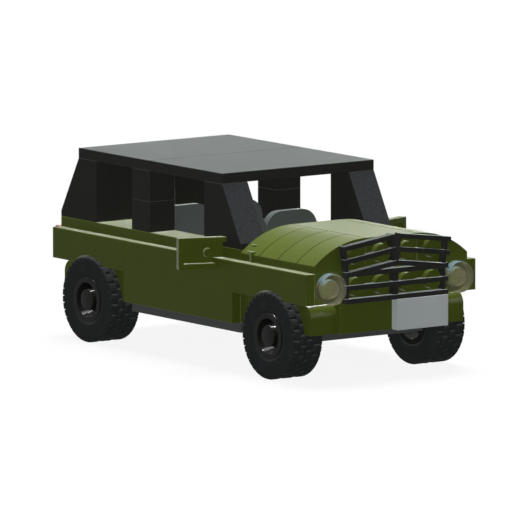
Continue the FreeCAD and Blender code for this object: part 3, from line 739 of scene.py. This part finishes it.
# Lines of points across a row of lugs, as shares of its width
ROW_LINE_SHARES = (0.0, 0.07, 0.16, 0.3, 0.5, 0.7, 0.84, 0.93)

# Start and end of a lug's flank, as shares of its half width
LUG_FLANK_SHARES = (0.86, 1.1)

# Exponent of a lug's plan, where 2 is an ellipse and more is squarer
LUG_SQUARENESS = 3.2


def eased(part):
    """A part kept from 0 to 1, with a soft start and end."""
    part = min(1.0, max(0.0, part))
    return part * part * (3 - 2 * part)


def lug_shape(around, across, open_edge):
    """Height share of a lug, 1 on top and 0 in a groove, and its fall from the middle in lug crowns.

    around and across run from -0.5 to 0.5 over one lug's room. open_edge is the side, -1 or 1, that
    runs on into the shoulder, or 0.
    """
    given = sizes()
    if across * open_edge > 0:
        across = 0
    edge_around = abs(around) / (0.5 - given.lug_groove_share / 2)
    edge_across = abs(across) / (0.5 - given.row_groove_share / 2)
    reach = (edge_around ** LUG_SQUARENESS + edge_across ** LUG_SQUARENESS) ** (1 / LUG_SQUARENESS)
    start, end = LUG_FLANK_SHARES
    return 1 - eased((reach - start) / (end - start)), min(1.0, reach) ** 2


def tooth_height(around):
    """1 on a shoulder tooth and 0 in the middle of a slot, with around from -0.5 to 0.5."""
    return eased((0.5 - abs(around)) / (sizes().tooth_slot_share / 2))


def row_width():
    """Width of one row of lugs."""
    given = sizes()
    return (given.tyre_width - 2 * given.shoulder_width) / TREAD_ROWS


def tread_point(turn, along):
    """Radius of the tread at a share of a turn and a distance from the tyre's outer face."""
    given = sizes()
    row_place = (along - given.shoulder_width) / row_width()
    row = min(TREAD_ROWS - 1, max(0, math.floor(row_place)))
    across = row_place - row - 0.5
    around = (turn * TREAD_LUGS + (row % 2) / 2) % 1 - 0.5
    open_edge = {0: -1, TREAD_ROWS - 1: 1}.get(row, 0)
    height, crown = lug_shape(around, across, open_edge)
    from_middle = abs(2 * along / given.tyre_width - 1)
    top = given.tyre_radius - given.tread_crown * from_middle ** 2 - given.lug_crown * crown
    return top - given.tread_depth * (1 - height)


def tyre_ring(turn):
    """Ring of (place along Y, radius) through the tyre at a share of a turn, from its outer face."""
    given = sizes()
    tip = given.tyre_radius - given.shoulder_fall
    foot = given.tyre_radius - given.shoulder_depth
    tooth = tooth_height((turn * SHOULDER_TEETH) % 1 - 0.5)
    side = []
    for inset_share, radius_share in SIDEWALL_SHARES:
        radius = given.rim_radius + (foot - given.rim_radius) * radius_share
        side.append((given.sidewall_bulge * inset_share, radius))
    for inset_share, height_share in SHOULDER_SHARES:
        side.append((given.sidewall_bulge * inset_share, foot + (tip - foot) * height_share * tooth))
    lines = [row + line_share for row in range(TREAD_ROWS) for line_share in ROW_LINE_SHARES]
    rows = []
    for line in (*lines, TREAD_ROWS):
        along = given.shoulder_width + row_width() * line
        rows.append((along, tread_point(turn, along)))
    far_side = [(given.tyre_width - along, radius) for along, radius in reversed(side)]
    return [(along - given.tyre_width / 2, radius) for along, radius in side + rows + far_side]


def tyre_mesh(material):
    """One tyre about the Y axis, with its outer face towards -Y, as a mesh without an object."""
    steps = TREAD_LUGS * STEPS_PER_LUG
    points = []
    rings = []
    for number in range(steps):
        turn = number / steps
        start = len(points)
        points += [
            about_y(along, radius, math.tau * turn - math.pi / 2) for along, radius in tyre_ring(turn)
        ]
        rings.append(list(range(start, len(points))))
    return smooth_mesh("tyre", points, ring_faces([*rings, rings[0]]), material)


def rim_profile():
    """Profile of a rim about the Y axis, with its outer face towards -Y."""
    given = sizes()
    back = given.tyre_width / 2
    face = -back
    dish_floor = face + given.dish_depth
    ring_inner = given.rim_radius - given.ring_width
    hub_face = face + given.hub_recess
    corners = [
        (hub_face, 0),
        (hub_face, given.hub_radius),
        (dish_floor, given.hub_radius),
        (dish_floor, ring_inner - given.dish_fall),
        (face, ring_inner),
        (face, given.rim_radius),
        (back, given.rim_radius),
        (back, ring_inner),
        (dish_floor + given.web_thickness, ring_inner),
        (dish_floor + given.web_thickness, given.hub_radius),
        (back, given.hub_radius),
        (back, given.hub_bore),
        (hub_face + given.hub_cap, given.hub_bore),
        (hub_face + given.hub_cap, 0),
    ]
    return rounded_profile(corners, given.edge_round)


def box_middle(node):
    """Middle of a CAD node's box."""
    low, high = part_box(node)
    return (low + high) / 2


def stand_for(piece, node, body):
    """The piece stands for a CAD node, which it hides, and moves with a body."""
    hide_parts(node)
    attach(piece, body)


def wheels():
    """Each wheel's end, side and the turn that brings its outer face outward."""
    for end in ENDS:
        for side in SIDES:
            yield end, side, Matrix.Rotation(math.pi if side == "left" else 0.0, 4, "Z")


class CAR_OT_tyres(bpy.types.Operator):
    """Four tyres with staggered rows of rounded lugs and a slotted shoulder"""

    bl_idname = "car.tyres"
    bl_label = "Tyres"

    def execute(self, context):
        mesh = tyre_mesh(tyre_rubber("tyre_rubber", colours().rubber))
        for end, side, turn in wheels():
            node = f"tyre_{end}_{side}"
            piece = put(f"treaded_{node}", mesh)
            piece.matrix_world = Matrix.Translation(box_middle(node)) @ turn
            stand_for(piece, node, f"wheel_{end}_{side}")
        return {"FINISHED"}


class CAR_OT_rims(bpy.types.Operator):
    """Four dished rims with a flat ring and a closed hub"""

    bl_idname = "car.rims"
    bl_label = "Rims"

    def execute(self, context):
        material = rim_plastic("rim_plastic", colours().rim_black)
        for end, side, turn in wheels():
            node = f"rim_{end}_{side}"
            piece = turned(f"turned_{node}", rim_profile(), RIM_SEGMENTS, material)
            piece.matrix_world = Matrix.Translation(box_middle(node)) @ turn
            stand_for(piece, node, f"wheel_{end}_{side}")
        return {"FINISHED"}


# Lamps and number plate

def lens_profile(thickness, radius):
    """Profile of a round lens about the Y axis, with its face towards -Y and its foot at 0."""
    given = sizes()
    foot = radius - given.foot_inset
    corners = [
        (-thickness, 0),
        (-thickness, radius),
        (-given.foot_height, radius),
        (-given.foot_height, foot),
        (0, foot),
        (0, given.stud_radius),
        (-given.lens_cup_depth, given.stud_radius),
        (-given.lens_cup_depth, 0),
    ]
    return rounded_profile(corners, given.edge_round)


class CAR_OT_headlamps(bpy.types.Operator):
    """Two round clear lenses with a stepped foot and a cup in the back"""

    bl_idname = "car.headlamps"
    bl_label = "Headlamps"

    def execute(self, context):
        shades, looks = colours(), finishes()
        material = lens_plastic(
            "clear_lens", shades.clear, shades.clear_edge_highlight, looks.clear_refraction, looks.clear_passes
        )
        face_forward = Matrix.Rotation(math.pi / 2, 4, "Z")
        for side in SIDES:
            node = f"headlamp_{side}"
            low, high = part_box(node)
            line = lens_profile(high.x - low.x, (high.z - low.z) / 2)
            piece = turned(f"round_{node}", line, LENS_SEGMENTS, material)
            middle = box_middle(node)
            piece.matrix_world = Matrix.Translation((low.x, middle.y, middle.z)) @ face_forward
            stand_for(piece, node, "root")
        return {"FINISHED"}


class CAR_OT_tail_lamps(bpy.types.Operator):
    """Two square red lenses"""

    bl_idname = "car.tail_lamps"
    bl_label = "Tail lamps"

    def execute(self, context):
        shades, looks = colours(), finishes()
        material = lens_plastic(
            "red_lens", shades.red, shades.red_edge_highlight, looks.red_refraction, looks.red_passes
        )
        for side in SIDES:
            node = f"tail_lamp_{side}"
            piece = tile(f"square_{node}", *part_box(node), -1, material)
            stand_for(piece, node, "root")
        return {"FINISHED"}


class CAR_OT_number_plate(bpy.types.Operator):
    """The blank plate on the nose"""

    bl_idname = "car.number_plate"
    bl_label = "Number plate"

    def execute(self, context):
        looks = finishes()
        material = moulded_plastic(
            "plate_plastic", colours().light_grey, looks.brick_roughness, looks.brick_refraction
        )
        piece = tile("blank_number_plate", *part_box("number_plate"), 1, material)
        stand_for(piece, "number_plate", "root")
        return {"FINISHED"}


# Bricks

def brick_plastics():
    """What moulded_plastic takes for the olive bricks, for the black ones and for plain ones."""
    shades, looks = colours(), finishes()
    plain = {"roughness": looks.brick_roughness, "refraction": looks.brick_refraction}
    olive = {**plain, "tone": shades.olive, "veil": looks.veil, "veil_tint": shades.veil_tint}
    black = {
        "tone": shades.black,
        "roughness": looks.black_roughness,
        "refraction": looks.black_refraction,
        "veil": looks.black_veil,
        "veil_tint": shades.black_veil_tint,
    }
    return olive, black, plain


def hood_and_roof_seams():
    """The painted shade lines at the seams of the hood's curved sides, of its flat middle and of the roof.

    The roof has a single seam, so the spacing reaches past its ends.
    """
    panel_low, panel_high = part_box("side_panel_front_left")
    top_low, top_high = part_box("hood_top")
    roof_low, roof_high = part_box("roof_rear")
    return (
        Seams("X", panel_low.x, (panel_high.x - panel_low.x) / HOOD_BRICKS),
        Seams("Y", top_low.y, top_high.y - top_low.y),
        Seams("X", roof_high.x, 2 * (roof_high.x - roof_low.x)),
    )


class CAR_OT_bricks(bpy.types.Operator):
    """Plastic finishes of the bricks whose CAD shape stays"""

    bl_idname = "car.bricks"
    bl_label = "Bricks"

    def execute(self, context):
        shades, looks = colours(), finishes()
        olive, black, plain = brick_plastics()
        side_seams, top_seams, roof_seams = hood_and_roof_seams()
        grained = grained_plastic("grained_black_bricks", shades.black, shades.grain)
        by_slot = {
            "olive_plastic": moulded_plastic("olive_bricks", **olive),
            "black_plastic": moulded_plastic("black_bricks", **black),
            "grey_plastic": moulded_plastic("grey_bricks", shades.grey, **plain),
        }
        by_start = {
            # The seats' lighter grey is painted light for the shaded cab
            "seat": moulded_plastic("grey_seats", shades.seat_grey_with_painted_light, **plain),
            "front_pillar": grained,
            "rear_wall": grained,
            "grille": moulded_plastic("black_grille", **{**black, "veil": looks.veil}),
            "wing": moulded_plastic("olive_wings", **olive, coat=looks.wing_coat),
            # The hood and the roof get painted shade along their seams
            "hood_side": moulded_plastic("olive_hood_sides", **olive, seams=side_seams),
            "hood_top": moulded_plastic("olive_hood_top", **olive, seams=top_seams),
            "roof": moulded_plastic("black_roof", **black, seams=roof_seams),
        }
        for name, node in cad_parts.items():
            # A node that a piece stands for is hidden
            if node.hide_render:
                continue
            slot = node.data.materials[0].name
            if slot not in by_slot:
                raise RuntimeError(f"{name} has the slot {slot}, which no finish stands for")
            special = [finish for start, finish in by_start.items() if name.startswith(start)]
            node.data.materials[0] = special[0] if special else by_slot[slot]
        return {"FINISHED"}


# Stage

def aim(thing, place, target):
    """Puts a camera or lamp at a place and turns it to a target, with its top up."""
    thing.location = place
    thing.rotation_mode = "QUATERNION"
    thing.rotation_quaternion = (Vector(target) - Vector(place)).to_track_quat("-Z", "Y")


def direction(azimuth, elevation):
    """From the car towards a place at an azimuth and elevation."""
    return Vector((
        math.sin(azimuth) * math.cos(elevation),
        -math.cos(azimuth) * math.cos(elevation),
        math.sin(elevation),
    ))


def stage_camera():
    """A long lens at the photograph's angle."""
    given = stage_settings()
    lens = bpy.data.cameras.new("camera")
    lens.lens = given.lens
    lens.clip_end = given.camera_reach
    camera = put("camera", lens)
    away = direction(given.camera_azimuth, given.camera_elevation)
    target = Vector(given.camera_target)
    aim(camera, target + away * given.camera_distance, target)
    bpy.context.scene.camera = camera


def soft_light(name, brightness, azimuth, elevation, spread, shadows=False):
    """A light from far away, as wide as its spread. Without shadows it fills what others cover."""
    lamp = bpy.data.lights.new(name, "SUN")
    lamp.energy = math.pi * brightness
    lamp.angle = spread
    lamp.use_shadow = shadows
    lamp.cycles.use_multiple_importance_sampling = shadows
    aim(put(name, lamp), direction(azimuth, elevation), Vector((0, 0, 0)))


def stage_lights():
    """Soft light from above, from the camera's side and from behind."""
    given = stage_settings()
    wide = given.light_spread
    behind = given.camera_azimuth + math.pi
    high = math.pi / 2 - given.top_tilt
    front = (given.front_azimuth, given.front_elevation)
    soft_light("top_light", given.top_light, behind, high, wide, shadows=True)
    soft_light("top_fill", given.top_fill, behind, high, wide)
    soft_light("front_light", given.front_light, *front, wide, shadows=True)
    soft_light("front_fill", given.front_fill, *front, wide)
    soft_light("back_fill", given.back_fill, behind, given.back_elevation, wide)
    soft_light("glint", given.glint, given.glint_azimuth, given.glint_elevation, given.glint_spread)


def background_seen(tree):
    """1 for the rays that show the background: straight to the camera, in gloss and through lenses."""
    seen = [
        tree.node("ShaderNodeLightPath", output=f"Is {kind} Ray")
        for kind in ("Camera", "Glossy", "Transmission")
    ]
    return tree.node(
        "ShaderNodeMath", {"operation": "MINIMUM"}, {0: seen[0] + seen[1] + seen[2], 1: 1.0}
    )


def stage_world():
    """A white background whose light on the object is dimmer."""
    given = stage_settings()
    tree = Tree(bpy.data.worlds.new("pale_room"))
    shown = tree.node("ShaderNodeBackground", inputs={"Color": WHITE, "Strength": 1.0})
    lit = tree.node(
        "ShaderNodeBackground", inputs={"Color": shade(given.ambient_tint), "Strength": given.ambient}
    )
    mixed = tree.blend(background_seen(tree), lit, shown)
    tree.node("ShaderNodeOutputWorld", inputs={"Surface": mixed})
    bpy.context.scene.world = tree.owner


def stage_floor():
    """A white floor that keeps the car's shadow and throws little light back."""
    given = stage_settings()
    tree = Tree(bpy.data.materials.new("pale_floor"))
    mottle = tree.noise(tree.place(), given.floor_grain)
    paint = tree.node(
        "ShaderNodeBsdfDiffuse",
        inputs={"Color": tree.tones(mottle, [given.floor_paint] * 3, FLOOR_SHARES)},
    )
    glow = tree.node("ShaderNodeEmission", inputs={"Color": WHITE, "Strength": 1.0})
    shown = tree.blend(given.floor_glow, paint, glow)
    dim = tree.node("ShaderNodeBsdfDiffuse", inputs={"Color": shade([given.floor_bounce] * 3)})
    material = tree.surface(tree.blend(background_seen(tree), dim, shown))
    half = given.floor_size / 2
    corners = [(-half, -half, 0), (half, -half, 0), (half, half, 0), (-half, half, 0)]
    put("floor", smooth_mesh("floor", corners, [(0, 1, 2, 3)], material))


class CAR_OT_stage(bpy.types.Operator):
    """Camera at the photograph's angle, soft lamps, a white room and a pale floor"""

    bl_idname = "car.stage"
    bl_label = "Stage"

    def execute(self, context):
        stage_camera()
        stage_lights()
        stage_world()
        stage_floor()
        context.scene.view_settings.view_transform = "Standard"
        return {"FINISHED"}


# The add-on

PIECES = (
    CAR_OT_tyres,
    CAR_OT_rims,
    CAR_OT_headlamps,
    CAR_OT_tail_lamps,
    CAR_OT_number_plate,
    CAR_OT_bricks,
    CAR_OT_stage,
)


class CAR_PT_pieces(bpy.types.Panel):
    """Lists the pieces of the car"""

    bl_idname = "CAR_PT_pieces"
    bl_label = "Army 4x4"
    bl_space_type = "VIEW_3D"
    bl_region_type = "UI"
    bl_category = "Army 4x4"

    def draw(self, context):
        for piece in PIECES:
            self.layout.operator(piece.bl_idname)


SETTINGS = {
    "car_sizes": CarSizes,
    "car_colours": CarColours,
    "car_finishes": CarFinishes,
    "car_stage": StageSettings,
}
CLASSES = (*SETTINGS.values(), *PIECES, CAR_PT_pieces)


def register():
    """Adds the classes and the settings to Blender."""
    for made in CLASSES:
        bpy.utils.register_class(made)
    for name, group in SETTINGS.items():
        setattr(bpy.types.Scene, name, bpy.props.PointerProperty(type=group))


def unregister():
    """Takes them out again."""
    for name in SETTINGS:
        delattr(bpy.types.Scene, name)
    for made in reversed(CLASSES):
        bpy.utils.unregister_class(made)


def main():
    """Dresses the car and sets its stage."""
    register()
    for piece in PIECES:
        group, name = piece.bl_idname.split(".")
        getattr(getattr(bpy.ops, group), name)()


if __name__ == "__main__":
    main()
